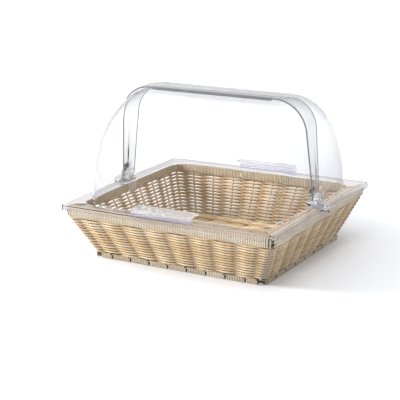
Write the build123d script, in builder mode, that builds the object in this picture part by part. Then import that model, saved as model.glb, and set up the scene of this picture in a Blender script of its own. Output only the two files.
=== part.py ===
from build123d import *
import os
from math import cos, radians, sin, tan

# A counter-top display bin: a flared basket woven round a steel wire frame, with a clear
# roll-top cover. The cover is a frame that sits over the basket's rim and two nested
# quarter shells that turn on one axis across the middle. All sizes are in millimetres.
# Origin: middle of the footprint, on the table. +Z is up, the front is at -Y.

# ---------------------------------------------------------------- driving sizes: basket
RIM_X = 357.0  # outside of the bound rim, a two-thirds gastronorm size
RIM_Y = 324.0
RIM_TOP = 85.9
FLARE_SIDE = 29.0  # the foot ring is this far inside the rim at the left and right
FLARE_FRONT = 32.0  # and at the front and rear
CORNER_R = 12.0  # outside corner of foot ring, walls and rim

BASE_BAND_W = 9.0
BASE_BAND_H = 9.0
BASE_BAND_CHAMFER = 2.0
BASE_BARE_END = 2.5  # straight bare wire between a front or rear binding and the bend
NOTCH_CLEARANCE = 0.7
NOTCH_WEB = 2.0  # height of binding left under each rib notch

RIM_BAND_W = 10.0
RIM_BAND_H = 17.0
RIM_BAND_CHAMFER = 2.6
BINDING_GAP = 1.6  # slit where two bindings meet at a corner

WALL_T = 8.4  # woven wall at a rib, measured level
WEAVE_DIP = 2.6  # each face of the wall swings in by this between two ribs
WALL_SET_IN = 1.0  # top of the woven wall inside the rim binding's face
WALL_END_GAP = 0.2
CORNER_PROUD = 0.3  # corner binding stands out of the walls
FLOOR_BOTTOM = 5.4
FLOOR_TOP = 13.9
FLOOR_EDGE_GAP = 0.2

RIM_WIRE_D = 5.0
RIM_WIRE_SET_IN = 4.0  # middle of the wire from the binding's outer face
BASE_WIRE_D = 4.0
BASE_WIRE_SET_IN = 4.5
POST_D = 4.0
RIB_D = 3.0
RIB_END = 34.0  # outermost rib's middle from the end of the foot ring
CROSS_RIBS = 8  # down the front wall, under the floor and up the rear wall
SIDE_RIBS = 7  # down the left wall, across the floor and up the right wall
RIB_CROSSING_GAP = 0.6
RIB_BEND_CUT = 3.0  # each bend of a rib is drawn as one cut corner
RIB_SIDES = 6  # ribs, posts and loops repeat a lot, so their round wire has flat sides
WIRE_SIDES = 8
WIRE_CLEARANCE = 0.1  # between a wire and what is woven or bound round it
WELD_GAP = 0.1
CHANNEL_REACH = 1.0  # a wire's channel goes this far past the wire's end

# ---------------------------------------------------------------- driving sizes: cover
FRAME_WALL = 2.5
SKIRT_GAP = 1.5  # between the skirt and the bound rim
FRAME_SKIRT_H = 9.0
FRAME_CORNER_R = 6.0
FRAME_EDGE_FILLET = 0.9
FRAME_SEAT_GAP = 0.3  # over the rim
RING_W_SIDE = 20.0  # level ring between the frame's edge and its opening
RING_W_FRONT = 17.5
OPENING_CORNER_R = 32.0

PIVOT_RISE = 12.0  # pivot axis above the frame
SHELL_T = 2.5
SHELL_SEAT_GAP = 0.4
SHELL_SET_BACK = 13.0  # rear shell's outside from the frame's front or rear edge
SHELL_SET_IN = 12.0  # rear shell's end wall from the frame's side, at the pivot axis
REAR_SHELL_CORNER_R = 51.5
SHELL_GAP_RADIAL = 3.7  # room between the rear shell and the front shell inside it
SHELL_GAP_SIDE = 1.7
SHELL_CORNER_STEP = 6.2  # the front shell's corner radius is this much smaller
SHELL_DRAFT = 4.8  # degrees, end walls lean in towards the crown
EDGE_LEAN = 3.6  # degrees, each shell's straight edge leans over the other shell

PIN_D = 5.0
PIN_RUNNING_GAP = 0.08
PIN_HEAD_D = 9.0
PIN_HEAD_T = 2.0
PIN_TAIL = 0.8
BOSS_R = 8.5
BOSS_OUT = 1.5
EAR_R = 9.0
EAR_T = 3.2
EAR_GAP = 0.35
EAR_LEG = 17.0  # inner ear's leg below the top of the frame
BRACKET_W = 20.0
BRACKET_CLEARANCE = 0.9  # from the shells' cut-outs
PAD_T = 3.0
LUG_GAP = 2.3  # between the frame's skirt and the lug outside it
LUG_T = 3.5
LUG_H = 12.0
LUG_RISE = 6.0
LUG_CORNER_R = 4.0
RIVET_D = 2.6
RIVET_HEAD_D = 4.6
RIVET_HEAD_T = 0.8
RIVET_TAIL = 1.1
RIVET_DROP = 4.2
RIVET_GAP = 0.1

HANDLE_LENGTH = 103.0
HANDLE_T = 2.5
HANDLE_OVERHANG = 3.5  # front plate beyond the frame's edge
HANDLE_LIFT = 0.6  # front plate's lower edge above the frame's top
HANDLE_FILLET = 1.6
BOND_GAP = 0.1
BEAD_LENGTH = 206.0
BEAD_W = 4.5
BEAD_T = 2.0

# ---------------------------------------------------------------- sizes that follow
BASE_X = RIM_X - 2 * FLARE_SIDE  # outside of the bound foot ring
BASE_Y = RIM_Y - 2 * FLARE_FRONT
CROSS_PITCH = (BASE_X - 2 * RIB_END) / (CROSS_RIBS - 1)
SIDE_PITCH = (BASE_Y - 2 * RIB_END) / (SIDE_RIBS - 1)
WALL_BOTTOM = BASE_BAND_H
WALL_TOP = RIM_TOP - RIM_BAND_H
RIM_WIRE_Z = RIM_TOP - RIM_BAND_H / 2
BASE_WIRE_Z = BASE_BAND_H / 2
CROSS_RIB_Z = BASE_WIRE_Z + BASE_WIRE_D / 2 + WELD_GAP + RIB_D / 2
SIDE_RIB_Z = CROSS_RIB_Z + RIB_D + RIB_CROSSING_GAP
RIB_TOP = RIM_WIRE_Z - RIM_WIRE_D / 2 - WELD_GAP - RIB_D / 4
POST_BOTTOM = BASE_WIRE_Z + BASE_WIRE_D / 2 + WELD_GAP + POST_D / 3
POST_TOP = RIM_WIRE_Z - RIM_WIRE_D / 2 - WELD_GAP - POST_D / 3

FRAME_X = RIM_X + 2 * (SKIRT_GAP + FRAME_WALL)
FRAME_Y = RIM_Y + 2 * (SKIRT_GAP + FRAME_WALL)
FRAME_TOP = RIM_TOP + FRAME_SEAT_GAP + FRAME_WALL
OPENING_X = FRAME_X - 2 * RING_W_SIDE
OPENING_Y = FRAME_Y - 2 * RING_W_FRONT
PIVOT_Z = FRAME_TOP + PIVOT_RISE
REAR_SHELL_R = FRAME_Y / 2 - SHELL_SET_BACK  # outside radius about the pivot axis
REAR_SHELL_HALF_W = FRAME_X / 2 - SHELL_SET_IN
FRONT_SHELL_R = REAR_SHELL_R - SHELL_T - SHELL_GAP_RADIAL
FRONT_SHELL_HALF_W = REAR_SHELL_HALF_W - SHELL_T - SHELL_GAP_SIDE
FRONT_SHELL_CORNER_R = REAR_SHELL_CORNER_R - SHELL_CORNER_STEP
REAR_BOSS_FACE = REAR_SHELL_HALF_W + BOSS_OUT
FRONT_BOSS_FACE = FRONT_SHELL_HALF_W - SHELL_T - BOSS_OUT
OUTER_EAR_X = REAR_BOSS_FACE + EAR_GAP
INNER_EAR_X = FRONT_BOSS_FACE - EAR_GAP - EAR_T
LUG_X = FRAME_X / 2 + LUG_GAP
REACH = FRAME_X  # longer than any cut has to be

PIVOT_AXIS = Axis((0, 0, PIVOT_Z), (1, 0, 0))

# Each wall is drawn as the front wall and turned about +Z to its own side.
SIDES = {"front": 0, "right": 90, "rear": 180, "left": 270}
CORNERS = {
    "front_left": (-1, -1),
    "front_right": (1, -1),
    "rear_right": (1, 1),
    "rear_left": (-1, 1),
}

os.makedirs("parts", exist_ok=True)


def side_plane(turn, z):
    """Level plane at height z whose local -Y points out of the given side."""
    return Plane.XY.offset(z).rotated((0, 0, turn))


def side_sizes(turn):
    """Base length, base depth, rim length and rim depth as seen from a side."""
    if turn % 180 == 0:
        return BASE_X, BASE_Y, RIM_X, RIM_Y
    return BASE_Y, BASE_X, RIM_Y, RIM_X


def wall_face(z, base, rim):
    """Distance from the middle to the woven wall's outer face at height z."""
    share = (z - WALL_BOTTOM) / (WALL_TOP - WALL_BOTTOM)
    return base / 2 + share * (rim / 2 - WALL_SET_IN - base / 2)


def corner_centre(z):
    """Middle of the rear right corner's bend at height z."""
    return wall_face(z, BASE_X, RIM_X) - CORNER_R, wall_face(z, BASE_Y, RIM_Y) - CORNER_R


def post_point(z, sign_x, sign_y):
    """Point of a corner post at height z, in the middle of the corner's thickness."""
    centre_x, centre_y = corner_centre(z)
    out = (CORNER_R - WALL_T / 2) * cos(radians(45))
    return Vector(sign_x * (centre_x + out), sign_y * (centre_y + out), z)


def loop_line(length, depth, set_in, z):
    """Closed wire line with bent corners, set in from the outside of its binding."""
    half_x = length / 2 - set_in
    half_y = depth / 2 - set_in
    corners = [(-half_x, -half_y), (half_x, -half_y), (half_x, half_y), (-half_x, half_y)]
    with BuildLine(Plane.XY.offset(z)) as loop:
        FilletPolyline(*corners, radius=CORNER_R - set_in, close=True)
    return loop.line


def start_plane(line):
    """Plane square to a level line at its start, with local X level."""
    along = line % 0
    return Plane(origin=line @ 0, x_dir=along.cross(Vector(0, 0, 1)), z_dir=along)


def binding_mitre(turn, end, length, depth):
    """Plane through one corner's bend that faces the middle of a side."""
    inward = Vector(-end, -1, 0).normalized()
    centre = Vector(end * (length / 2 - CORNER_R), CORNER_R - depth / 2, 0)
    origin = centre + inward * (BINDING_GAP / 2)
    return Plane(origin=origin.rotate(Axis.Z, turn), z_dir=inward.rotate(Axis.Z, turn))


def binding_end(turn, end, length):
    """Plane square to a side, where its binding stops short of the bend."""
    origin = Vector(end * (length / 2 - CORNER_R - BASE_BARE_END), 0, 0)
    return Plane(origin=origin.rotate(Axis.Z, turn), z_dir=Vector(-end, 0, 0).rotate(Axis.Z, turn))


def side_ribs_of(turn):
    """Count, pitch at the foot and floor height of the ribs that go up a side."""
    if turn % 180 == 0:
        return CROSS_RIBS, CROSS_PITCH, CROSS_RIB_Z
    return SIDE_RIBS, SIDE_PITCH, SIDE_RIB_Z


def rib_places(turn, z):
    """Places of the ribs along a side at height z, fanned out with the wall."""
    base_length, base_depth, rim_length, rim_depth = side_sizes(turn)
    count, pitch, run_z = side_ribs_of(turn)
    fan = wall_face(z, base_length, rim_length) / wall_face(run_z, base_length, rim_length)
    return [(i - (count - 1) / 2) * pitch * fan for i in range(count)]


def rib_line(index, turn, top_z):
    """Middle line of a rib: down one wall, across and up the wall opposite."""
    base_length, base_depth, rim_length, rim_depth = side_sizes(turn)
    run_z = side_ribs_of(turn)[2]
    run_y = wall_face(run_z, base_depth, rim_depth) - WALL_T / 2
    top_y = wall_face(top_z, base_depth, rim_depth) - WALL_T / 2
    head = Vector(rib_places(turn, top_z)[index], -top_y, top_z)
    foot = Vector(rib_places(turn, run_z)[index], -run_y, run_z)
    rise = (head - foot).normalized() * RIB_BEND_CUT
    half = [tuple(p) for p in (head, foot + rise, foot + Vector(0, RIB_BEND_CUT, 0))]
    with BuildLine(Plane.XY.rotated((0, 0, turn))) as line:
        Polyline(*half, *[(x, -y, z) for x, y, z in reversed(half)])
    return line.line


def pillow_outline(stakes, face):
    """Plan of a woven wall: full thickness at each stake and thin halfway between."""
    outer = [(stakes[0], -face)]
    for start, end in zip(stakes, stakes[1:]):
        outer += [((start + end) / 2, WEAVE_DIP - face), (end, -face)]
    return outer + [(x, WALL_T - 2 * face - y) for x, y in reversed(outer)]


# ---------------------------------------------------------------- basket: wire frame
# The rim wire and the foot wire are closed loops with bent corners.
with BuildPart() as rim_wire:
    rim_line = loop_line(RIM_X, RIM_Y, RIM_WIRE_SET_IN, RIM_WIRE_Z)
    with BuildSketch(start_plane(rim_line)):
        RegularPolygon(RIM_WIRE_D / 2, WIRE_SIDES)
    sweep(path=rim_line)
rim_wire.part.label = "rim_wire"
export_step(rim_wire.part, "parts/rim_wire.step")

with BuildPart() as base_wire:
    base_line = loop_line(BASE_X, BASE_Y, BASE_WIRE_SET_IN, BASE_WIRE_Z)
    with BuildSketch(start_plane(base_line)):
        RegularPolygon(BASE_WIRE_D / 2, WIRE_SIDES)
    sweep(path=base_line)
base_wire.part.label = "base_wire"
export_step(base_wire.part, "parts/base_wire.step")

# A straight post is welded between the two loops at each corner. The wider channels are
# the room that the bindings leave for the posts.
with BuildPart() as corner_posts:
    for sign_x, sign_y in CORNERS.values():
        foot = post_point(POST_BOTTOM, sign_x, sign_y)
        head = post_point(POST_TOP, sign_x, sign_y)
        with BuildSketch(Plane(origin=foot, z_dir=head - foot)):
            RegularPolygon(POST_D / 2, WIRE_SIDES)
        extrude(amount=(head - foot).length)
corner_posts.part.label = "corner_posts"
export_step(corner_posts.part, "parts/corner_posts.step")

with BuildPart() as post_channels:
    for sign_x, sign_y in CORNERS.values():
        foot = post_point(POST_BOTTOM - CHANNEL_REACH, sign_x, sign_y)
        head = post_point(POST_TOP + CHANNEL_REACH, sign_x, sign_y)
        with BuildSketch(Plane(origin=foot, z_dir=head - foot)):
            RegularPolygon(POST_D / 2 + WIRE_CLEARANCE, WIRE_SIDES)
        extrude(amount=(head - foot).length)

# Two crossed sets of ribs, each rib one wire bent up at both ends and fanned out with the
# walls. The channels are the room that the weave and the bindings leave for them.
rib_channels = {}
for set_name, turn in (("cross", 0), ("side", 90)):
    with BuildPart() as ribs:
        for index in range(side_ribs_of(turn)[0]):
            rib = rib_line(index, turn, RIB_TOP)
            with BuildSketch(Plane(origin=rib @ 0, z_dir=rib % 0)):
                RegularPolygon(RIB_D / 2, RIB_SIDES)
            sweep(path=rib, transition=Transition.RIGHT)
    ribs.part.label = f"{set_name}_ribs"
    export_step(ribs.part, f"parts/{set_name}_ribs.step")

    with BuildPart() as channels:
        for index in range(side_ribs_of(turn)[0]):
            rib = rib_line(index, turn, RIB_TOP + CHANNEL_REACH)
            with BuildSketch(Plane(origin=rib @ 0, z_dir=rib % 0)):
                RegularPolygon(RIB_D / 2 + WIRE_CLEARANCE, RIB_SIDES)
            sweep(path=rib, transition=Transition.RIGHT)
    rib_channels[set_name] = channels.part

# ---------------------------------------------------------------- basket: weave
# Each woven wall leans out and fans between two corner bindings. The strands pass outside
# and inside the ribs, so the wall swells at every rib and is thin between them.
for side, turn in SIDES.items():
    base_length, base_depth, rim_length, rim_depth = side_sizes(turn)
    with BuildPart() as weave:
        for z in (WALL_BOTTOM, WALL_TOP):
            half_length = wall_face(z, base_length, rim_length) - CORNER_R - WALL_END_GAP
            stakes = [-half_length, *rib_places(turn, z), half_length]
            with BuildSketch(side_plane(turn, z)):
                with BuildLine():
                    Polyline(*pillow_outline(stakes, wall_face(z, base_depth, rim_depth)), close=True)
                make_face()
        loft(ruled=True)
        add(rib_channels["cross" if turn % 180 == 0 else "side"], mode=Mode.SUBTRACT)
    weave.part.label = f"{side}_weave"
    export_step(weave.part, f"parts/{side}_weave.step")

# The corner bindings carry the walls' thickness round each post.
for corner, (sign_x, sign_y) in CORNERS.items():
    quadrant = (
        Align.MIN if sign_x > 0 else Align.MAX,
        Align.MIN if sign_y > 0 else Align.MAX,
    )
    with BuildPart() as corner_wrap:
        for z in (WALL_BOTTOM, WALL_TOP):
            centre_x, centre_y = corner_centre(z)
            with BuildSketch(Plane.XY.offset(z)):
                with Locations((sign_x * centre_x, sign_y * centre_y)):
                    Circle(CORNER_R + CORNER_PROUD)
                    Circle(CORNER_R - WALL_T, mode=Mode.SUBTRACT)
                    Rectangle(2 * CORNER_R, 2 * CORNER_R, align=quadrant, mode=Mode.INTERSECT)
        loft(ruled=True)
        add(post_channels.part, mode=Mode.SUBTRACT)
    corner_wrap.part.label = f"{corner}_corner_wrap"
    export_step(corner_wrap.part, f"parts/{corner}_corner_wrap.step")

# The floor lies inside the foot ring and widens with the walls above it. The cross ribs
# lie in grooves under it and the side ribs in grooves on top.
with BuildPart() as floor_weave:
    with BuildSketch(Plane.XY.offset(FLOOR_BOTTOM)):
        RectangleRounded(
            BASE_X - 2 * (BASE_BAND_W + FLOOR_EDGE_GAP),
            BASE_Y - 2 * (BASE_BAND_W + FLOOR_EDGE_GAP),
            CORNER_R,
        )
    extrude(amount=WALL_BOTTOM - FLOOR_BOTTOM)
    for z in (WALL_BOTTOM, FLOOR_TOP):
        with BuildSketch(Plane.XY.offset(z)):
            RectangleRounded(
                2 * (wall_face(z, BASE_X, RIM_X) - WALL_T) - 2 * (BASE_BAND_W - WALL_T + FLOOR_EDGE_GAP),
                2 * (wall_face(z, BASE_Y, RIM_Y) - WALL_T) - 2 * (BASE_BAND_W - WALL_T + FLOOR_EDGE_GAP),
                CORNER_R,
            )
    loft(ruled=True)
    with BuildSketch(Plane.XY.offset(CROSS_RIB_Z + RIB_D / 2 + WIRE_CLEARANCE)):
        with GridLocations(CROSS_PITCH, 1, CROSS_RIBS, 1):
            Rectangle(RIB_D + 2 * WIRE_CLEARANCE, REACH)
    extrude(amount=-WALL_BOTTOM, mode=Mode.SUBTRACT)
    with BuildSketch(Plane.XY.offset(SIDE_RIB_Z - RIB_D / 2 - WIRE_CLEARANCE)):
        with GridLocations(1, SIDE_PITCH, 1, SIDE_RIBS):
            Rectangle(REACH, RIB_D + 2 * WIRE_CLEARANCE)
    extrude(amount=FLOOR_TOP, mode=Mode.SUBTRACT)
floor_weave.part.label = "floor_weave"
export_step(floor_weave.part, "parts/floor_weave.step")

# ---------------------------------------------------------------- basket: bindings
# The rim wire is bound in four lengths that meet in slits at the corners.
for side, turn in SIDES.items():
    rim_length, rim_depth = side_sizes(turn)[2:]
    with BuildPart() as rim_wrap:
        with BuildSketch(start_plane(rim_line)) as section:
            with Locations((RIM_WIRE_SET_IN - RIM_BAND_W / 2, 0)):
                Rectangle(RIM_BAND_W, RIM_BAND_H)
            chamfer(section.vertices(), RIM_BAND_CHAMFER)
            RegularPolygon(RIM_WIRE_D / 2 + WIRE_CLEARANCE, WIRE_SIDES, mode=Mode.SUBTRACT)
        sweep(path=rim_line)
        for end in (-1, 1):
            split(bisect_by=binding_mitre(turn, end, rim_length, rim_depth), keep=Keep.TOP)
        add(rib_channels["cross" if turn % 180 == 0 else "side"], mode=Mode.SUBTRACT)
        add(post_channels.part, mode=Mode.SUBTRACT)
    rim_wrap.part.label = f"{side}_rim_wrap"
    export_step(rim_wrap.part, f"parts/{side}_rim_wrap.step")

# The foot wire's bindings are notched at every rib. The side bindings go round the
# bends, and the front and rear ones stop short and leave a length of wire bare.
for side, turn in SIDES.items():
    base_length, base_depth = side_sizes(turn)[:2]
    count, pitch, run_z = side_ribs_of(turn)
    with BuildPart() as base_wrap:
        with BuildSketch(start_plane(base_line)) as section:
            with Locations((BASE_WIRE_SET_IN - BASE_BAND_W / 2, 0)):
                Rectangle(BASE_BAND_W, BASE_BAND_H)
            chamfer(section.vertices(), BASE_BAND_CHAMFER)
            RegularPolygon(BASE_WIRE_D / 2 + WIRE_CLEARANCE, WIRE_SIDES, mode=Mode.SUBTRACT)
        sweep(path=base_line)
        for end in (-1, 1):
            split(bisect_by=binding_mitre(turn, end, base_length, base_depth), keep=Keep.TOP)
            if turn % 180 == 0:
                split(bisect_by=binding_end(turn, end, base_length), keep=Keep.TOP)
        with BuildSketch(side_plane(turn, NOTCH_WEB)):
            with Locations((0, (BASE_BAND_W - base_depth) / 2)):
                with GridLocations(pitch, 1, count, 1):
                    Rectangle(RIB_D + 2 * NOTCH_CLEARANCE, 2 * BASE_BAND_W)
        extrude(amount=BASE_BAND_H, mode=Mode.SUBTRACT)
        add(post_channels.part, mode=Mode.SUBTRACT)
    base_wrap.part.label = f"{side}_base_wrap"
    export_step(base_wrap.part, f"parts/{side}_base_wrap.step")

# ---------------------------------------------------------------- cover: frame
# A level ring with a skirt round its edge drops over the rim.
with BuildPart() as cover_frame:
    with BuildSketch(Plane.XY.offset(FRAME_TOP - FRAME_SKIRT_H)):
        RectangleRounded(FRAME_X, FRAME_Y, FRAME_CORNER_R)
    extrude(amount=FRAME_SKIRT_H)
    fillet(cover_frame.faces().sort_by(Axis.Z)[-1].edges(), FRAME_EDGE_FILLET)
    with BuildSketch(Plane.XY.offset(FRAME_TOP - FRAME_SKIRT_H)):
        RectangleRounded(
            FRAME_X - 2 * FRAME_WALL, FRAME_Y - 2 * FRAME_WALL, FRAME_CORNER_R - FRAME_WALL
        )
    extrude(amount=FRAME_SKIRT_H - FRAME_WALL, mode=Mode.SUBTRACT)
    with BuildSketch(Plane.XY.offset(FRAME_TOP)):
        RectangleRounded(OPENING_X, OPENING_Y, OPENING_CORNER_R)
    extrude(amount=-FRAME_WALL, mode=Mode.SUBTRACT)
    with BuildSketch(Plane.YZ):
        with Locations((0, FRAME_TOP - RIVET_DROP)):
            Circle(RIVET_D / 2 + RIVET_GAP)
    extrude(amount=REACH, both=True, mode=Mode.SUBTRACT)
cover_frame.part.label = "cover_frame"
export_step(cover_frame.part, "parts/cover_frame.step")

# ---------------------------------------------------------------- cover: shells
# Both shells are turned about the pivot axis. Each is cut off level just above the frame
# and along a leaning plane ahead of the axis, and is cut away round its pivot boss, so
# that its corner clears the bracket while it turns.
shells = {
    "front": (-1, FRONT_SHELL_R, FRONT_SHELL_HALF_W, FRONT_SHELL_CORNER_R),
    "rear": (1, REAR_SHELL_R, REAR_SHELL_HALF_W, REAR_SHELL_CORNER_R),
}
pivot_plane = Plane(origin=(0, 0, PIVOT_Z), x_dir=(1, 0, 0), z_dir=(0, -1, 0))
draft = tan(radians(SHELL_DRAFT))
lean = radians(EDGE_LEAN)
edge_planes = {}
for name, (facing, outer_r, outer_half_w, corner_r) in shells.items():
    edge_planes[name] = Plane(
        origin=(0, -facing * PIVOT_RISE, FRAME_TOP), z_dir=(0, facing * cos(lean), sin(lean))
    )
    with BuildPart() as shell:
        for inset, mode in ((0, Mode.ADD), (SHELL_T, Mode.SUBTRACT)):
            crown_r = outer_r - inset
            half_w = outer_half_w - inset
            with BuildSketch(pivot_plane):
                with BuildLine():
                    FilletPolyline(
                        (-half_w, 0),
                        (half_w, 0),
                        (half_w - crown_r * draft, crown_r),
                        (crown_r * draft - half_w, crown_r),
                        radius=[0, 0, corner_r - inset, corner_r - inset],
                        close=True,
                    )
                make_face()
            revolve(axis=PIVOT_AXIS, mode=mode)
        split(bisect_by=Plane.XY.offset(FRAME_TOP + SHELL_SEAT_GAP), keep=Keep.TOP)
        split(bisect_by=edge_planes[name], keep=Keep.TOP)
        with BuildSketch(Plane(origin=(0, 0, PIVOT_Z), x_dir=(0, facing, 0), z_dir=(facing, 0, 0))):
            with Locations((BRACKET_W / 2 + BRACKET_CLEARANCE, 0)):
                Rectangle(REACH, REACH, align=(Align.MAX, Align.MAX))
            Rectangle(REACH, BOSS_R, align=(Align.MIN, Align.MAX), mode=Mode.SUBTRACT)
            Circle(BOSS_R, mode=Mode.SUBTRACT)
        extrude(amount=REACH, both=True, mode=Mode.SUBTRACT)
        boss_face = REAR_BOSS_FACE if name == "rear" else FRONT_BOSS_FACE
        boss_root = outer_half_w - SHELL_T / 2
        for side_x in (-1, 1):
            with BuildSketch(Plane(origin=(side_x * boss_root, 0, PIVOT_Z), z_dir=(side_x, 0, 0))):
                Circle(BOSS_R)
            extrude(amount=boss_face - boss_root)
        with BuildSketch(Plane(origin=(0, 0, PIVOT_Z), z_dir=(1, 0, 0))):
            Circle(PIN_D / 2 + PIN_RUNNING_GAP)
        extrude(amount=REACH, both=True, mode=Mode.SUBTRACT)
    shell.part.label = f"{name}_shell"
    export_step(shell.part, f"parts/{name}_shell.step")

# A bead runs along the inside of the rear shell's straight edge, over the front shell.
with BuildPart() as rear_edge_bead:
    with BuildSketch(pivot_plane):
        with Locations((0, REAR_SHELL_R - SHELL_T - BOND_GAP)):
            Rectangle(BEAD_LENGTH, BEAD_T, align=(Align.CENTER, Align.MAX))
    revolve(axis=PIVOT_AXIS)
    split(bisect_by=Plane.XY.offset(PIVOT_Z), keep=Keep.TOP)
    split(bisect_by=edge_planes["rear"], keep=Keep.TOP)
    split(bisect_by=edge_planes["rear"].offset(BEAD_W), keep=Keep.BOTTOM)
rear_edge_bead.part.label = "rear_edge_bead"
export_step(rear_edge_bead.part, "parts/rear_edge_bead.step")

# ---------------------------------------------------------------- cover: handles
# Each handle is a ledge with a plate that hangs from it outside the frame's skirt.
for name, (facing, outer_r, outer_half_w, corner_r) in shells.items():
    handle_face = FRAME_Y / 2 + HANDLE_OVERHANG
    with BuildPart() as handle:
        with BuildSketch(Plane(origin=(0, 0, PIVOT_Z), x_dir=(0, facing, 0), z_dir=(facing, 0, 0))):
            with BuildLine():
                Polyline(
                    (outer_r + BOND_GAP, 0),
                    (handle_face, 0),
                    (handle_face, HANDLE_LIFT - PIVOT_RISE),
                    (handle_face - HANDLE_T, HANDLE_LIFT - PIVOT_RISE),
                    (handle_face - HANDLE_T, -HANDLE_T),
                    (outer_r + BOND_GAP, -HANDLE_T),
                    close=True,
                )
            make_face()
        extrude(amount=HANDLE_LENGTH / 2, both=True)
        ledge_edges = handle.edges().filter_by(Axis.X).group_by(Axis.Z)[-1]
        fillet(ledge_edges.sort_by(Axis.Y)[-1 if facing > 0 else 0], HANDLE_FILLET)
    handle.part.label = f"{name}_handle"
    export_step(handle.part, f"parts/{name}_handle.step")

# ---------------------------------------------------------------- cover: pivots
# A clevis straddles the frame on each side: a pad on the ring, an ear inside and an ear
# outside the two shells, a leg down inside the opening and a lug outside the skirt.
for side, side_x in (("left", -1), ("right", 1)):
    with BuildPart() as bracket:
        ear_plane = Plane(origin=(side_x * INNER_EAR_X, 0, PIVOT_Z), x_dir=(0, side_x, 0), z_dir=(side_x, 0, 0))
        with BuildSketch(ear_plane):
            Circle(EAR_R)
            Rectangle(2 * EAR_R, PIVOT_RISE + EAR_LEG, align=(Align.CENTER, Align.MAX))
        extrude(amount=EAR_T)
        with BuildSketch(ear_plane.offset(OUTER_EAR_X - INNER_EAR_X)):
            Circle(EAR_R)
            Rectangle(2 * EAR_R, PIVOT_RISE, align=(Align.CENTER, Align.MAX))
        extrude(amount=EAR_T)
        with BuildSketch(ear_plane):
            with Locations((0, -PIVOT_RISE)):
                Rectangle(BRACKET_W, PAD_T, align=(Align.CENTER, Align.MIN))
        extrude(amount=LUG_X + LUG_T - INNER_EAR_X)
        with BuildSketch(ear_plane.offset(LUG_X - INNER_EAR_X)):
            with Locations((0, LUG_RISE - LUG_H / 2 - PIVOT_RISE)):
                RectangleRounded(BRACKET_W, LUG_H, LUG_CORNER_R)
        extrude(amount=LUG_T)
        with BuildSketch(ear_plane):
            Circle(PIN_D / 2 + PIN_RUNNING_GAP)
            with Locations((0, -PIVOT_RISE - RIVET_DROP)):
                Circle(RIVET_D / 2 + RIVET_GAP)
        extrude(amount=REACH, mode=Mode.SUBTRACT)
    bracket.part.label = f"{side}_pivot_bracket"
    export_step(bracket.part, f"parts/{side}_pivot_bracket.step")

    with BuildPart() as pivot_pin:
        with BuildSketch(ear_plane.offset(-PIN_TAIL)):
            Circle(PIN_D / 2)
        extrude(amount=PIN_TAIL + OUTER_EAR_X + EAR_T - INNER_EAR_X)
        with BuildSketch(ear_plane.offset(OUTER_EAR_X + EAR_T - INNER_EAR_X)):
            Circle(PIN_HEAD_D / 2)
        extrude(amount=PIN_HEAD_T)
    pivot_pin.part.label = f"{side}_pivot_pin"
    export_step(pivot_pin.part, f"parts/{side}_pivot_pin.step")

    with BuildPart() as rivet:
        rivet_plane = Plane(
            origin=(side_x * (FRAME_X / 2 - FRAME_WALL - RIVET_TAIL), 0, FRAME_TOP - RIVET_DROP),
            z_dir=(side_x, 0, 0),
        )
        shank = LUG_X + LUG_T - (FRAME_X / 2 - FRAME_WALL - RIVET_TAIL)
        with BuildSketch(rivet_plane):
            Circle(RIVET_D / 2)
        extrude(amount=shank)
        with BuildSketch(rivet_plane.offset(shank)):
            Circle(RIVET_HEAD_D / 2)
        extrude(amount=RIVET_HEAD_T)
    rivet.part.label = f"{side}_retaining_pin"
    export_step(rivet.part, f"parts/{side}_retaining_pin.step")
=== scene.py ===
import math
import random

import bmesh
import bpy
from mathutils import Matrix, Vector


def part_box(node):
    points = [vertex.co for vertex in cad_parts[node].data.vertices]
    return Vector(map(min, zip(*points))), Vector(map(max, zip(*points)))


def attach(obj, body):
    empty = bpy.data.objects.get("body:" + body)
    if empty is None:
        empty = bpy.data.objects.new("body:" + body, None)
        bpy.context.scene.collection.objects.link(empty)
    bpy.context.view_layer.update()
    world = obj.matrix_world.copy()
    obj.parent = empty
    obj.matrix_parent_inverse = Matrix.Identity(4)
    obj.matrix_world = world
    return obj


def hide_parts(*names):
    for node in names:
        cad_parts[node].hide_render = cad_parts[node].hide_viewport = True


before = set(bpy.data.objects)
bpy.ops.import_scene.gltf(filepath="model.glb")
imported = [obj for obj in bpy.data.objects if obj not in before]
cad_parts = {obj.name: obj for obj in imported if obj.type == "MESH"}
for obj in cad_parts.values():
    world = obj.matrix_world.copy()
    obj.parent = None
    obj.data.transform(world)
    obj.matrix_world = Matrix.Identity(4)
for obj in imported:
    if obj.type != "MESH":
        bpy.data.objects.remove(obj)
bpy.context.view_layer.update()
random.seed(7)

# ---------------------------------------------------------------- wire loops
# The basket hangs on a welded frame of steel wire. Its rim loop and foot loop are dip
# coated in near-black plastic, a little uneven and dull, and show only in the notches
# and slits between the bindings.
WIRE_DARK = (0.040, 0.030, 0.022, 1)
WIRE_WORN = (0.100, 0.078, 0.058, 1)
WIRE_MOTTLE_SCALE = 260.0
COATING_ROUGHNESS = 0.45


def new_material(name):
    """A node material, its tree and its Principled shader."""
    material = bpy.data.materials.new(name)
    material.use_nodes = True
    return material, material.node_tree, material.node_tree.nodes["Principled BSDF"]


def join(tree, value, socket):
    """Links another node's output to a socket, or sets the socket to a plain value."""
    if isinstance(value, bpy.types.NodeSocket):
        tree.links.new(value, socket)
    else:
        socket.default_value = value


def fit(tree, node, **inputs):
    """Joins values or outputs to a node's inputs by name."""
    for name, value in inputs.items():
        join(tree, value, node.inputs[name.replace("_", " ")])
    return node


def add_node(tree, kind, **inputs):
    """A new node, with its inputs joined by name."""
    return fit(tree, tree.nodes.new(kind), **inputs)


def add_noise(tree, scale, detail):
    """Noise over a piece's object coordinates."""
    place = tree.nodes.new("ShaderNodeTexCoord").outputs["Object"]
    noise = add_node(tree, "ShaderNodeTexNoise", Vector=place, Scale=scale, Detail=detail)
    return noise.outputs["Fac"]


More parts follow.
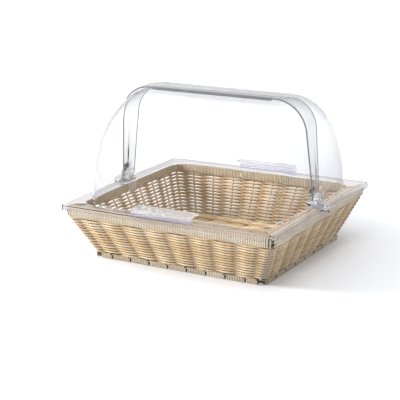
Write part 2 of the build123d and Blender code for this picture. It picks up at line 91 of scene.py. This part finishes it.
def add_mix(tree, share, first, second):
    """A blend of two colours."""
    node = tree.nodes.new("ShaderNodeMix")
    node.data_type = "RGBA"
    return fit(tree, node, Factor=share, A=first, B=second).outputs["Result"]


def new_group(name, inputs, outputs):
    """A node group with named sockets, and what its own nodes are given."""
    group = bpy.data.node_groups.new(name, "ShaderNodeTree")
    for way, sockets in (("INPUT", inputs), ("OUTPUT", outputs)):
        for label, kind in sockets.items():
            group.interface.new_socket(
                label, in_out=way, socket_type=f"NodeSocket{kind}"
            )
    return group, group.nodes.new("NodeGroupInput").outputs


def place_group(tree, group, **inputs):
    """The outputs of a group that is placed in a material with its own values."""
    node = tree.nodes.new("ShaderNodeGroup")
    node.node_tree = group
    return fit(tree, node, **inputs).outputs


def coat(material, *names):
    """Gives CAD nodes their only material."""
    for name in names:
        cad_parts[name].data.materials.clear()
        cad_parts[name].data.materials.append(material)


mottle, given = new_group(
    "mottle",
    {"Dark": "Color", "Pale": "Color", "Scale": "Float", "Detail": "Float"},
    {"Color": "Color"},
)
cloud = add_noise(mottle, given["Scale"], given["Detail"])
mottled = add_mix(mottle, cloud, given["Dark"], given["Pale"])
add_node(mottle, "NodeGroupOutput", Color=mottled)

coated_wire, tree, shader = new_material("coated_wire")
worn = place_group(
    tree, mottle, Dark=WIRE_DARK, Pale=WIRE_WORN, Scale=WIRE_MOTTLE_SCALE, Detail=4.0
)
fit(tree, shader, Base_Color=worn["Color"], Roughness=COATING_ROUGHNESS)
coat(coated_wire, "rim_wire", "base_wire")

# ---------------------------------------------------------------- ribs and posts
# Two crossed sets of bent wire ribs and four corner posts stand welded between the loops.
# They are coated in the strand's own colour where they run through the weave. Their
# ends, in the foot ring's notches and under the rim, are coloured dark.
RIB_DARK_BELOW = 0.0098
RIB_DARK_ABOVE = 0.0680
RIB_FADE = 0.0012
RIB_END_DARK = (0.050, 0.038, 0.028, 1)
RIB_DEEP = (0.50, 0.33, 0.15, 1)
RIB_PALE = (0.72, 0.52, 0.27, 1)
RIB_MOTTLE_SCALE = 120.0


def object_height(tree):
    """Height in a piece's object coordinates."""
    place = tree.nodes.new("ShaderNodeTexCoord").outputs["Object"]
    return add_node(tree, "ShaderNodeSeparateXYZ", Vector=place).outputs["Z"]


def add_range(tree, value, old, new=(0.0, 1.0)):
    """A value moved from an old range to a new one, and held inside it."""
    node = add_node(
        tree,
        "ShaderNodeMapRange",
        Value=value,
        From_Min=old[0],
        From_Max=old[1],
        To_Min=new[0],
        To_Max=new[1],
    )
    return node.outputs["Result"]


def add_math(tree, operation, *values):
    """The result of a sum on values or outputs."""
    node = tree.nodes.new("ShaderNodeMath")
    node.operation = operation
    for value, socket in zip(values, node.inputs):
        join(tree, value, socket)
    return node.outputs["Value"]


rib_coating, tree, shader = new_material("rib_coating")
height = object_height(tree)
over_foot = add_range(tree, height, (RIB_DARK_BELOW, RIB_DARK_BELOW + RIB_FADE))
under_rim = add_range(tree, height, (RIB_DARK_ABOVE + RIB_FADE, RIB_DARK_ABOVE))
woven_run = add_math(tree, "MULTIPLY", over_foot, under_rim)
straw = place_group(
    tree, mottle, Dark=RIB_DEEP, Pale=RIB_PALE, Scale=RIB_MOTTLE_SCALE, Detail=4.0
)
fit(tree, shader, Base_Color=add_mix(tree, woven_run, RIB_END_DARK, straw["Color"]))
fit(tree, shader, Roughness=COATING_ROUGHNESS)
coat(rib_coating, "cross_ribs", "side_ribs", "corner_posts")

# ---------------------------------------------------------------- woven floor
# The floor is woven from extruded plastic strand that imitates split cane, each length in
# its own straw tone with fine streaks and a soft waxy shine. Its strands run left to
# right, over one cross rib and under the next, and leave room for the side ribs on top.
CROSS_RIBS = 8
SIDE_RIBS = 7
CROSS_PITCH = 0.033
SIDE_PITCH = 0.032
RIB_R = 0.0015
FLOOR_ROW = 0.00265
FLOOR_STRAND_R = 0.00125
FLOOR_MARGIN = 0.004
FLOOR_CORNER_R = 0.012
SIDE_RIB_ROOM = RIB_R + 0.6 * FLOOR_STRAND_R
STEPS = 8  # points of a strand from one rib to the next
END_TONE = 0.5  # the tone of a length's cut ends
UP = Vector((0, 0, 1))

PATCH_SCALE = 38.0
STRAND_STREAKS = 900.0
LENGTH_SHARE = 0.55  # how much a length's own tone counts beside the patches
TONE_RANGE = (0.35, 0.90)
CANE_ROUGHNESS = (0.30, 0.48)
# painted grey sheen where the strands turn round the corners
CORNER_SHEEN_GREY = (0.52, 0.44, 0.34, 1)
STRAND_PALE = (0.92, 0.77, 0.54, 1)
STRAND_DEEP = (0.70, 0.50, 0.27, 1)
# painted shade for the crevices between lengths
STRAND_CREVICE_SHADE = (0.24, 0.13, 0.05, 1)


def read_attribute(tree, name):
    """The value of a piece's point attribute."""
    node = tree.nodes.new("ShaderNodeAttribute")
    node.attribute_name = name
    return node.outputs["Fac"]


cane, given = new_group(
    "cane_tone",
    {"Pale": "Color", "Deep": "Color", "Crevice": "Color", "Streak Scale": "Float"},
    {"Color": "Color", "Roughness": "Float", "Height": "Float"},
)
patch = add_noise(cane, PATCH_SCALE, detail=3.0)
streak = add_noise(cane, given["Streak Scale"], detail=3.0)
tone = add_math(cane, "MULTIPLY_ADD", read_attribute(cane, "tone"), LENGTH_SHARE, patch)
clean = add_mix(cane, add_range(cane, tone, TONE_RANGE), given["Pale"], given["Deep"])
# painted grey sheen at the corners
sheen_greyed = add_mix(cane, read_attribute(cane, "corner"), clean, CORNER_SHEEN_GREY)
# painted shade where a length lies against the next
shaded = add_mix(cane, read_attribute(cane, "painted_shade"), sheen_greyed, given["Crevice"])
gloss = add_range(cane, streak, (0.0, 1.0), CANE_ROUGHNESS)
add_node(cane, "NodeGroupOutput", Color=shaded, Roughness=gloss, Height=streak)


def cane_material(name, pale, deep, crevice_shade, streak_scale):
    """Strand in a pale and a deep tone, with painted shade where lengths lie side by side.
    """
    material, tree, shader = new_material(name)
    skin = place_group(
        tree, cane, Pale=pale, Deep=deep, Crevice=crevice_shade, Streak_Scale=streak_scale
    )
    bump = add_node(
        tree, "ShaderNodeBump", Strength=0.25, Distance=0.0003, Height=skin["Height"]
    )
    fit(tree, shader, Base_Color=skin["Color"], Roughness=skin["Roughness"])
    fit(tree, shader, Normal=bump.outputs["Normal"])
    fit(tree, shader, Coat_Weight=0.25, Coat_Roughness=0.18)
    return material


def lay_strands(name, lines, radius, flat, closed, material, across, depth):
    """A piece of strands along lines of points. Flanks that face along the direction
    across, where the next length lies close, get painted shade of strength depth."""
    curve = bpy.data.curves.new(name, "CURVE")
    curve.dimensions = "3D"
    curve.bevel_depth = radius
    curve.bevel_resolution = 2
    curve.extrude = flat
    curve.use_fill_caps = not closed
    for line in lines:
        spline = curve.splines.new("POLY")
        spline.points.add(len(line) - 1)
        spline.points.foreach_set("co", [c for point in line for c in (*point, 1.0)])
        spline.use_cyclic_u = closed
    holder = bpy.data.objects.new(name, curve)
    bpy.context.collection.objects.link(holder)
    mesh = bpy.data.meshes.new_from_object(holder)
    bpy.data.objects.remove(holder)
    count = len(mesh.vertices)
    per_point = count / sum(len(line) for line in lines)
    tones = []
    for line in lines:
        tones += [random.random()] * round(len(line) * per_point)
    tones += [END_TONE] * (count - len(tones))
    # painted shade on flanks that face the next length
    painted_shades = [depth * abs(v.normal.dot(across)) ** 2 for v in mesh.vertices]
    for label, values in (("tone", tones[:count]), ("painted_shade", painted_shades)):
        mesh.attributes.new(label, "FLOAT", "POINT").data.foreach_set("value", values)
    mesh.polygons.foreach_set("use_smooth", [True] * len(mesh.polygons))
    mesh.materials.append(material)
    piece = bpy.data.objects.new(name, mesh)
    bpy.context.collection.objects.link(piece)
    return piece


def rib_places(count, pitch):
    """Where a set of ribs crosses the floor, measured from its middle."""
    return [(i - (count - 1) / 2) * pitch for i in range(count)]


strand = cane_material(
    "cane_strand", STRAND_PALE, STRAND_DEEP, STRAND_CREVICE_SHADE, STRAND_STREAKS
)
low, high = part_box("floor_weave")
floor_x = high[0] - FLOOR_STRAND_R
floor_y = high[1] - FLOOR_STRAND_R
rib_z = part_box("cross_ribs")[0][2] + RIB_R
wave = RIB_R + FLOOR_STRAND_R
lines = []
rows = int(2 * (floor_y - FLOOR_MARGIN) / FLOOR_ROW)
for row in range(rows):
    y = (row - (rows - 1) / 2) * FLOOR_ROW
    if min(abs(y - rib_y) for rib_y in rib_places(SIDE_RIBS, SIDE_PITCH)) < SIDE_RIB_ROOM:
        continue
    past = max(0.0, abs(y) - (floor_y - FLOOR_CORNER_R))
    rounding = FLOOR_CORNER_R - math.sqrt(max(FLOOR_CORNER_R**2 - past**2, 0.0))
    reach = floor_x - FLOOR_MARGIN - rounding
    count = int(2 * reach / CROSS_PITCH * STEPS)
    line = []
    for step in range(count + 1):
        x = -reach + 2 * reach * step / count
        turn = math.cos(math.pi * (x / CROSS_PITCH + 0.5 + row))
        line.append(Vector((x, y, rib_z + wave * turn)))
    lines.append(line)
floor_piece = lay_strands("woven_floor", lines, FLOOR_STRAND_R, 0, False, strand, UP, 0)
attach(floor_piece, "basket")
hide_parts("floor_weave")

# ---------------------------------------------------------------- woven walls
# Each row of the wall is one strand that goes right round the basket, outside one rib and
# inside the next, and the corner posts likewise. The next row goes the other way, so the
# outside shows short pale bulges in staggered columns.
WALL_ROWS = 25
WALL_T = 0.0084
CORNER_R = 0.012
STRAND_R = 0.0010
STRAND_FLAT = 0.0006  # half of what the strand is taller than thick
# painted shade on the strands' upper and lower flanks, between rows
ROW_SHADE = 0.85
CROSSING_SHADE = 0.75  # painted shade at the middle of the wall, where strands cross
INNER_FALL = 1.5  # how fast that goes as the strand comes out to a face
CORNER_SHEEN_SHARE = 0.9
CORNER_SPAN = 0.7 * CORNER_R
CORNER_FADE = 0.002
low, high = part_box("front_weave")
wall_z = (low[2], high[2])
face_y = (WALL_T - high[1], -low[1])
low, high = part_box("left_weave")
face_x = (WALL_T - high[0], -low[0])


def at_height(pair, z):
    """A wall size at height z, from its values at the wall's foot and top."""
    share = (z - wall_z[0]) / (wall_z[1] - wall_z[0])
    return pair[0] + share * (pair[1] - pair[0])


def side_direction(side):
    """The direction along a side, for front, right, rear and left in turn."""
    return Vector((math.cos(side * math.pi / 2), math.sin(side * math.pi / 2), 0))


def ring_point(half_x, half_y, bend_r, side, u):
    """Point and outward direction on a bent ring, u along a side from its middle."""
    along = side_direction(side)
    out = Vector((along.y, -along.x, 0))
    reach, depth = (half_x, half_y) if side % 2 == 0 else (half_y, half_x)
    straight = reach - bend_r
    if abs(u) <= straight:
        return out * depth + along * u, out
    angle = min((abs(u) - straight) / bend_r, math.pi / 2)
    sign = math.copysign(1, u)
    direction = out * math.cos(angle) + along * sign * math.sin(angle)
    centre = out * (depth - bend_r) + along * sign * straight
    return centre + direction * bend_r, direction


def ribs_of(side):
    """Places of the ribs that stand behind a side, at the foot."""
    if side % 2 == 0:
        return rib_places(CROSS_RIBS, CROSS_PITCH)
    return rib_places(SIDE_RIBS, SIDE_PITCH)


def woven_row(z, row):
    """One strand of the wall at height z, round all four sides."""
    half_x = at_height(face_x, z) - WALL_T / 2
    half_y = at_height(face_y, z) - WALL_T / 2
    bend_r = CORNER_R - WALL_T / 2
    swing = WALL_T / 2 - STRAND_R
    points = []
    turned = row
    for side in range(4):
        faces, reach = (face_x, half_x) if side % 2 == 0 else (face_y, half_y)
        fan = at_height(faces, z) / faces[0]
        corner = reach - bend_r + bend_r * math.pi / 4
        stops = [-corner] + [place * fan for place in ribs_of(side)] + [corner]
        passes = [(-1) ** (i + turned) for i in range(len(stops))]
        for k in range(len(stops) - 1):
            for step in range(STEPS):
                share = step / STEPS
                u = stops[k] + share * (stops[k + 1] - stops[k])
                point, out = ring_point(half_x, half_y, bend_r, side, u)
                ease = (1 - math.cos(math.pi * share)) / 2
                level = passes[k] + ease * (passes[k + 1] - passes[k])
                points.append(point + out * swing * level + Vector((0, 0, z)))
        turned += len(stops) - 1
    return points


lines = []
for row in range(WALL_ROWS):
    share = (row + 0.5) / WALL_ROWS
    lines.append(woven_row(wall_z[0] + share * (wall_z[1] - wall_z[0]), row))
walls = lay_strands(
    "woven_walls", lines, STRAND_R, STRAND_FLAT, True, strand, UP, ROW_SHADE
)
corner_sheens = []
shades = []
painted_shades = walls.data.attributes["painted_shade"]
for vertex, painted_shade in zip(walls.data.vertices, painted_shades.data):
    past_x = abs(vertex.co.x) - at_height(face_x, vertex.co.z)
    past_y = abs(vertex.co.y) - at_height(face_y, vertex.co.z)
    # painted grey sheen of the strands turned round the corners
    corner = (min(past_x, past_y) + CORNER_SPAN) / CORNER_FADE + 1.0
    corner = min(max(corner, 0.0), 1.0)
    level = min(abs(max(past_x, past_y) + WALL_T / 2) / (WALL_T / 2), 1.0)
    corner_sheens.append(CORNER_SHEEN_SHARE * corner)
    # painted shade where the strand sinks to the middle of the wall
    crossing_shade = CROSSING_SHADE * (1 - level) ** INNER_FALL * (1 - corner)
    shades.append(max(painted_shade.value, crossing_shade))
painted_shades.data.foreach_set("value", shades)
walls.data.attributes.new("corner", "FLOAT", "POINT").data.foreach_set("value", corner_sheens)
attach(walls, "basket")
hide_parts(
    "front_weave",
    "rear_weave",
    "left_weave",
    "right_weave",
    "front_left_corner_wrap",
    "front_right_corner_wrap",
    "rear_left_corner_wrap",
    "rear_right_corner_wrap",
)

# ---------------------------------------------------------------- bound rim
# The rim wire is bound with strand wound on side by side, one length for each side. The
# lengths stop short of the corners, where a little of the black wire shows.
SIDE_NAMES = ("front", "right", "rear", "left")
RIM_STRAND_R = 0.00140
RIM_TURN = 0.0028
RIM_FILLET = 0.0031
RIM_SLIT = 0.0010
RIM_BAND_W = 0.010
# painted shade between the wound turns
TURN_SHADE = 0.9
BINDING_PALE = (0.92, 0.82, 0.64, 1)
BINDING_DEEP = (0.74, 0.62, 0.45, 1)
BINDING_CREVICE_SHADE = (0.16, 0.11, 0.07, 1)
BINDING_STREAKS = 700.0


def section_points(width, height, fillet):
    """Points round an upright section with rounded corners, as (out, up) pairs."""
    points = []
    for quarter in range(4):
        corner_out = (width / 2 - fillet) * (1 if quarter in (0, 3) else -1)
        corner_up = (height / 2 - fillet) * (1 if quarter in (0, 1) else -1)
        for step in range(3):
            angle = math.radians(90 * quarter + 45 * step)
            out = corner_out + fillet * math.cos(angle)
            points.append((out, corner_up + fillet * math.sin(angle)))
    return points


def wound_length(half_x, half_y, bend_r, side, start, end, middle_z, section, pitch):
    """A strand wound round a section that follows a side of a bent ring."""
    turns = max(1, round((end - start) / pitch))
    total = turns * len(section)
    points = []
    for step in range(total + 1):
        u = start + (end - start) * step / total
        point, out = ring_point(half_x, half_y, bend_r, side, u)
        sideways, up = section[step % len(section)]
        points.append(point + out * sideways + Vector((0, 0, middle_z + up)))
    return points


binding = cane_material(
    "cane_binding", BINDING_PALE, BINDING_DEEP, BINDING_CREVICE_SHADE, BINDING_STREAKS
)
low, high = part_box("front_rim_wrap")
rim_z = (low[2], high[2])
half_x = -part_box("left_rim_wrap")[0][0] - RIM_BAND_W / 2
half_y = -low[1] - RIM_BAND_W / 2
bend_r = CORNER_R - RIM_BAND_W / 2
section = section_points(
    RIM_BAND_W - 2 * RIM_STRAND_R,
    rim_z[1] - rim_z[0] - 2 * RIM_STRAND_R,
    RIM_FILLET - RIM_STRAND_R,
)
for side, name in enumerate(SIDE_NAMES):
    reach = (half_x if side % 2 == 0 else half_y) - bend_r + bend_r * math.pi / 4 - RIM_SLIT
    line = wound_length(
        half_x, half_y, bend_r, side, -reach, reach, sum(rim_z) / 2, section, RIM_TURN
    )
    piece = lay_strands(
        f"{name}_rim_binding",
        [line],
        RIM_STRAND_R,
        0,
        False,
        binding,
        side_direction(side),
        TURN_SHADE,
    )
    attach(piece, "basket")
    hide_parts(f"{name}_rim_wrap")

# ---------------------------------------------------------------- bound foot ring
# The foot wire is bound the same way in short lengths between the ribs, so a dark notch
# stays open at each rib. Front and rear stop short of the bends and leave bare wire.
FOOT_STRAND_R = 0.00135
FOOT_TURN = 0.0027
FOOT_FILLET = 0.0024
FOOT_NOTCH = 0.0014
FOOT_BARE = 0.0025
low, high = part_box("front_base_wrap")
foot_h = high[2] - low[2]
foot_w = high[1] - low[1]
half_x = -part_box("left_base_wrap")[0][0] - foot_w / 2
half_y = -low[1] - foot_w / 2
bend_r = CORNER_R - foot_w / 2
section = section_points(
    foot_w - 2 * FOOT_STRAND_R, foot_h - 2 * FOOT_STRAND_R, FOOT_FILLET - FOOT_STRAND_R
)
for side, name in enumerate(SIDE_NAMES):
    reach = (half_x if side % 2 == 0 else half_y) - bend_r
    reach += -FOOT_BARE if side % 2 == 0 else bend_r * math.pi / 4
    starts = [-reach] + [place + FOOT_NOTCH for place in ribs_of(side)]
    ends = [place - FOOT_NOTCH for place in ribs_of(side)] + [reach]
    lines = [
        wound_length(
            half_x, half_y, bend_r, side, start, end, foot_h / 2, section, FOOT_TURN
        )
        for start, end in zip(starts, ends)
    ]
    piece = lay_strands(
        f"{name}_foot_binding",
        lines,
        FOOT_STRAND_R,
        0,
        False,
        binding,
        side_direction(side),
        TURN_SHADE,
    )
    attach(piece, "basket")
    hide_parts(f"{name}_base_wrap")

# ---------------------------------------------------------------- cover frame
# The cover's frame is moulded in clear polycarbonate and lies loose on the bound rim. Its
# faces are polished and almost free of colour, and a grazing look through it is greyer.
SMOOTH_ANGLE = math.radians(32)
MERGE_WITHIN = 1e-6
SMEAR_SCALE = 14.0
CLEANEST = 0.4  # the roughness of the cleanest places, as a share of the haze
LAMP_TINT = (0.97, 0.97, 0.975, 1)  # what lamp light keeps of its colour in passing through
GRAZING_BLEND = 0.2
FRAME_FACE = (0.968, 0.960, 0.972, 1)
FRAME_GRAZING = (0.34, 0.33, 0.37, 1)


smear, given = new_group("smear", {"Haze": "Float"}, {"Roughness": "Float"})
cloud = add_noise(smear, SMEAR_SCALE, detail=5.0)
share = add_range(smear, cloud, (0.0, 1.0), (CLEANEST, 1.0))
add_node(
    smear, "NodeGroupOutput", Roughness=add_math(smear, "MULTIPLY", share, given["Haze"])
)


def clear_material(name, haze, ior, transmission):
    """Clear plastic, a little smeared, that lets lamp light through in straight lines."""
    material, tree, shader = new_material(name)
    smeared = place_group(tree, smear, Haze=haze)
    fit(tree, shader, Roughness=smeared["Roughness"])
    fit(tree, shader, Transmission_Weight=transmission, IOR=ior)
    ray = tree.nodes.new("ShaderNodeLightPath")
    clear = add_node(tree, "ShaderNodeBsdfTransparent", Color=LAMP_TINT)
    mix = add_node(tree, "ShaderNodeMixShader", Fac=ray.outputs["Is Shadow Ray"])
    tree.links.new(shader.outputs["BSDF"], mix.inputs[1])
    tree.links.new(clear.outputs["BSDF"], mix.inputs[2])
    tree.links.new(mix.outputs["Shader"], tree.nodes["Material Output"].inputs["Surface"])
    return material, tree, shader


def grazing_tint(tree, face, grazing):
    """A colour that goes from face to grazing as the surface turns from the eye."""
    facing = add_node(tree, "ShaderNodeLayerWeight", Blend=GRAZING_BLEND)
    return add_mix(tree, facing.outputs["Facing"], face, grazing)


def moulded(node, body, materials, edge_test=None):
    """A smooth-shaded copy of a CAD node, with a second material on its cut edges."""
    bm = bmesh.new()
    bm.from_mesh(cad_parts[node].data)
    bmesh.ops.remove_doubles(bm, verts=bm.verts, dist=MERGE_WITHIN)
    for face in bm.faces:
        face.smooth = True
        if edge_test is not None and edge_test(face.normal, face.calc_center_median()):
            face.material_index = 1
    mesh = bpy.data.meshes.new(f"{node}_moulded")
    bm.to_mesh(mesh)
    bm.free()
    mesh.set_sharp_from_angle(angle=SMOOTH_ANGLE)
    for material in materials:
        mesh.materials.append(material)
    piece = bpy.data.objects.new(f"{node}_moulded", mesh)
    bpy.context.collection.objects.link(piece)
    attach(piece, body)
    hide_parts(node)


frame_sheet, tree, shader = clear_material(
    "clear_frame", haze=0.02, ior=1.30, transmission=1.0
)
fit(tree, shader, Base_Color=grazing_tint(tree, FRAME_FACE, FRAME_GRAZING))
moulded("cover_frame", "cover", [frame_sheet])

# ---------------------------------------------------------------- shells and bead
# Two quarter shells, one inside the other, are moulded in the same clear sheet, and a bead
# is bonded along the rear one's straight edge. The sheet is clearer than the frame and
# darkens more to its outline. Its sawn straight edges and the bead are dull and grey.
SHEET_FACE = (0.996, 0.996, 0.998, 1)
SHEET_GRAZING = (0.20, 0.20, 0.23, 1)
EDGE_DARK = (0.17, 0.17, 0.185, 1)
EDGE_PALE = (0.27, 0.27, 0.295, 1)
EDGE_MOTTLE_SCALE = 60.0
EDGE_ROUGHNESS = 0.5
EDGE_NEAR = 0.0125  # the leaning straight edges lie between these distances from the
EDGE_FAR = 0.0230  # upright plane through the pivot axis
EDGE_SQUARE = 0.99  # and face it this squarely
pivot_z = sum(corner[2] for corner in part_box("left_pivot_pin")) / 2


def straight_edge(facing):
    """A test that picks the faces of a shell's leaning straight edge."""

    def test(normal, centre):
        leaning = EDGE_NEAR < abs(centre.y) < EDGE_FAR
        return leaning and normal.y * facing < -EDGE_SQUARE and centre.z > pivot_z

    return test


sheet, tree, shader = clear_material("clear_sheet", haze=0.02, ior=1.20, transmission=1.0)
fit(tree, shader, Base_Color=grazing_tint(tree, SHEET_FACE, SHEET_GRAZING))
cut_edge, tree, shader = new_material("clear_cut_edge")
sawn = place_group(
    tree, mottle, Dark=EDGE_DARK, Pale=EDGE_PALE, Scale=EDGE_MOTTLE_SCALE, Detail=3.0
)
fit(tree, shader, Base_Color=sawn["Color"], Roughness=EDGE_ROUGHNESS)
moulded("front_shell", "front_lid", [sheet, cut_edge], straight_edge(-1))
moulded("rear_shell", "rear_lid", [sheet, cut_edge], straight_edge(1))
moulded("rear_edge_bead", "rear_lid", [cut_edge])

# ---------------------------------------------------------------- handles
# The two handles are bonded to their shells. Their thicker clear plastic is a little
# milky, with a blue violet cast that gathers at the lower edge.
VIOLET_LOW = (0.58, 0.56, 0.75, 1)
VIOLET_HIGH = (0.97, 0.97, 0.985, 1)
VIOLET_GONE = 0.6  # the share of a handle's height at which the cast ends
handle_z = (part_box("front_handle")[0][2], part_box("front_handle")[1][2])
violet, tree, shader = clear_material(
    "clear_violet", haze=0.05, ior=1.25, transmission=0.84
)
rise = add_range(tree, object_height(tree), handle_z)
cast = add_node(tree, "ShaderNodeValToRGB", Fac=rise)
cast.color_ramp.elements[0].color = VIOLET_LOW
cast.color_ramp.elements[1].color = VIOLET_HIGH
cast.color_ramp.elements[1].position = VIOLET_GONE
fit(tree, shader, Base_Color=cast.outputs["Color"])
moulded("front_handle", "front_lid", [violet])
moulded("rear_handle", "rear_lid", [violet])

# ---------------------------------------------------------------- pivots
# A clear moulded clevis on each side carries both shells on a clear pin with a head, and
# a pin of plain steel holds the clevis to the frame's skirt.
FITTING_FACE = (0.985, 0.985, 0.99, 1)
FITTING_GRAZING = (0.78, 0.78, 0.83, 1)
STEEL_GREY = (0.16, 0.15, 0.17, 1)
STEEL_ROUGHNESS = (0.25, 0.45)
STEEL_GRAIN_SCALE = 900.0
fitting, tree, shader = clear_material(
    "clear_fitting", haze=0.04, ior=1.10, transmission=0.82
)
fit(tree, shader, Base_Color=grazing_tint(tree, FITTING_FACE, FITTING_GRAZING))
steel, tree, shader = new_material("plain_steel")
grain = add_noise(tree, STEEL_GRAIN_SCALE, detail=2.0)
fit(tree, shader, Base_Color=STEEL_GREY, Metallic=1.0)
fit(tree, shader, Roughness=add_range(tree, grain, (0.0, 1.0), STEEL_ROUGHNESS))
for side in ("left", "right"):
    moulded(f"{side}_pivot_bracket", "cover", [fitting])
    moulded(f"{side}_pivot_pin", "cover", [fitting])
    moulded(f"{side}_retaining_pin", "cover", [steel])

# ---------------------------------------------------------------- studio
# The object stands on a white sweep that grows lighter away from it, in white air, and
# keeps its shadow on it. A soft lamp on the left makes the shadow, and a larger and much
# weaker one hangs overhead.
SWEEP_HALF = 30.0
SWEEP_WHITE = (0.86, 0.88, 0.92, 1)
GLOW_NEAR = (0.07, 0.07, 0.072, 1)
GLOW_FAR = (0.85, 0.85, 0.85, 1)
GLOW_RANGE = (0.25, 1.1)
SEEN_GLOW_RANGE = (0.13, 0.62)  # the same rise, nearer, in what the camera sees
AIR_LIGHT = 0.34
LAMP_AIM = Vector((0, 0, 0.05))
sweep = bpy.data.meshes.new("sweep")
bm = bmesh.new()
bmesh.ops.create_grid(bm, x_segments=1, y_segments=1, size=SWEEP_HALF)
bm.to_mesh(sweep)
bm.free()
table_top = bpy.data.objects.new("sweep", sweep)
bpy.context.collection.objects.link(table_top)
white, tree, shader = new_material("white_sweep")
place = tree.nodes.new("ShaderNodeTexCoord")
length = tree.nodes.new("ShaderNodeVectorMath")
length.operation = "LENGTH"
tree.links.new(place.outputs["Object"], length.inputs[0])
distance = length.outputs["Value"]
ray = tree.nodes.new("ShaderNodeLightPath")
lifted = add_range(tree, distance, SEEN_GLOW_RANGE)
seen = add_math(tree, "MULTIPLY", lifted, ray.outputs["Is Camera Ray"])
glow = add_math(tree, "MAXIMUM", add_range(tree, distance, GLOW_RANGE), seen)
fit(tree, shader, Base_Color=SWEEP_WHITE, Roughness=0.6, Emission_Strength=1.0)
fit(tree, shader, Emission_Color=add_mix(tree, glow, GLOW_NEAR, GLOW_FAR))
sweep.materials.append(white)

world = bpy.data.worlds.new("white_air")
world.use_nodes = True
bpy.context.scene.world = world
tree = world.node_tree
ray = tree.nodes.new("ShaderNodeLightPath")
seen = add_math(
    tree, "MAXIMUM", ray.outputs["Is Camera Ray"], ray.outputs["Is Transmission Ray"]
)
seen = add_math(tree, "MAXIMUM", seen, ray.outputs["Is Glossy Ray"])
strength = add_range(tree, seen, (0.0, 1.0), (AIR_LIGHT, 1.0))
fit(tree, tree.nodes["Background"], Color=(1, 1, 1, 1), Strength=strength)


def soft_lamp(name, place, size, power):
    """A square area lamp at a place, aimed at the object."""
    data = bpy.data.lights.new(name, "AREA")
    data.size = size
    data.energy = power
    lamp = bpy.data.objects.new(name, data)
    lamp.location = place
    lamp.rotation_euler = (LAMP_AIM - Vector(place)).to_track_quat("-Z", "Y").to_euler()
    lamp.visible_glossy = False
    lamp.visible_transmission = False
    bpy.context.collection.objects.link(lamp)


soft_lamp("key", (-2.2, -1.1, 1.0), size=0.9, power=92.0)
soft_lamp("top", (0.2, -0.4, 2.2), size=1.6, power=16.0)

# ---------------------------------------------------------------- camera
# The view was worked out from the cover frame's corners, the basket's corners and the
# shells' outlines. The offset is the frame's middle as seen from the lens.
YAW = math.radians(30.564)
PITCH = math.radians(15.801)
ROLL = math.radians(-0.947)
LENS = 112.48
OFFSET = Vector((0.02855, 0.01105, -1.94746))
level_axis = Vector((math.cos(YAW), math.sin(YAW), 0))
back_axis = Vector((math.sin(YAW), -math.cos(YAW), 0)) * math.cos(PITCH)
back_axis.z = math.sin(PITCH)
up_axis = back_axis.cross(level_axis)
right_axis = math.cos(ROLL) * level_axis + math.sin(ROLL) * up_axis
up_axis = back_axis.cross(right_axis)
turn = Matrix((right_axis, up_axis, back_axis)).transposed()
aim = Vector((0, 0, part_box("cover_frame")[1][2]))
camera_data = bpy.data.cameras.new("camera")
camera_data.lens = LENS
camera_data.sensor_width = 36.0
camera = bpy.data.objects.new("camera", camera_data)
camera.matrix_world = Matrix.Translation(aim - turn @ OFFSET) @ turn.to_4x4()
bpy.context.collection.objects.link(camera)
bpy.context.scene.camera = camera
bpy.context.scene.view_settings.view_transform = "Standard"
